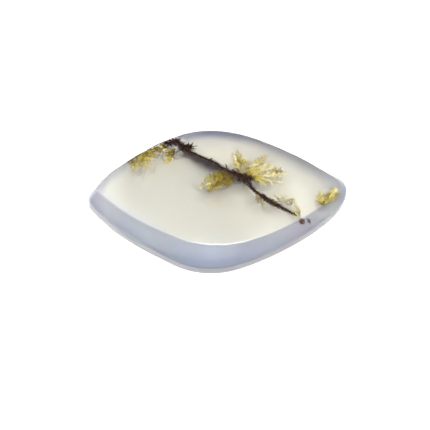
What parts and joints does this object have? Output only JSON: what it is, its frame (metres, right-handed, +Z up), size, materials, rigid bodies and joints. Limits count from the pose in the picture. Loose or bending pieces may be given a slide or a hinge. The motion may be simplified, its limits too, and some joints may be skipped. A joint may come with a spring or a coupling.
{
  "type": "polished dendritic agate stone",
  "caption": "Flat-backed, low-domed agate stone in a rounded lozenge shape, with a bevelled edge and branching dark and mossy yellow markings in milky chalcedony.",
  "frame": {"origin": "middle of the flat back, under the centre of the stone's overall length and width", "axes": "+X along the stone's length, towards the blunter tip; +Y towards the far apex; +Z up, square to the flat back, towards the polished dome"},
  "size_m": [0.0332, 0.0234, 0.0036],
  "materials": {
    "chalcedony": "polished, milky and see-through, with dark and yellow dendrites inside",
    "manganese_dendrite": "matt, near-black brown, lumpy",
    "iron_moss": "matt, olive to pale yellow, mossy"
  },
  "bodies": {
    "root": {"agate_stone": "chalcedony"}
  },
  "joints": []
}
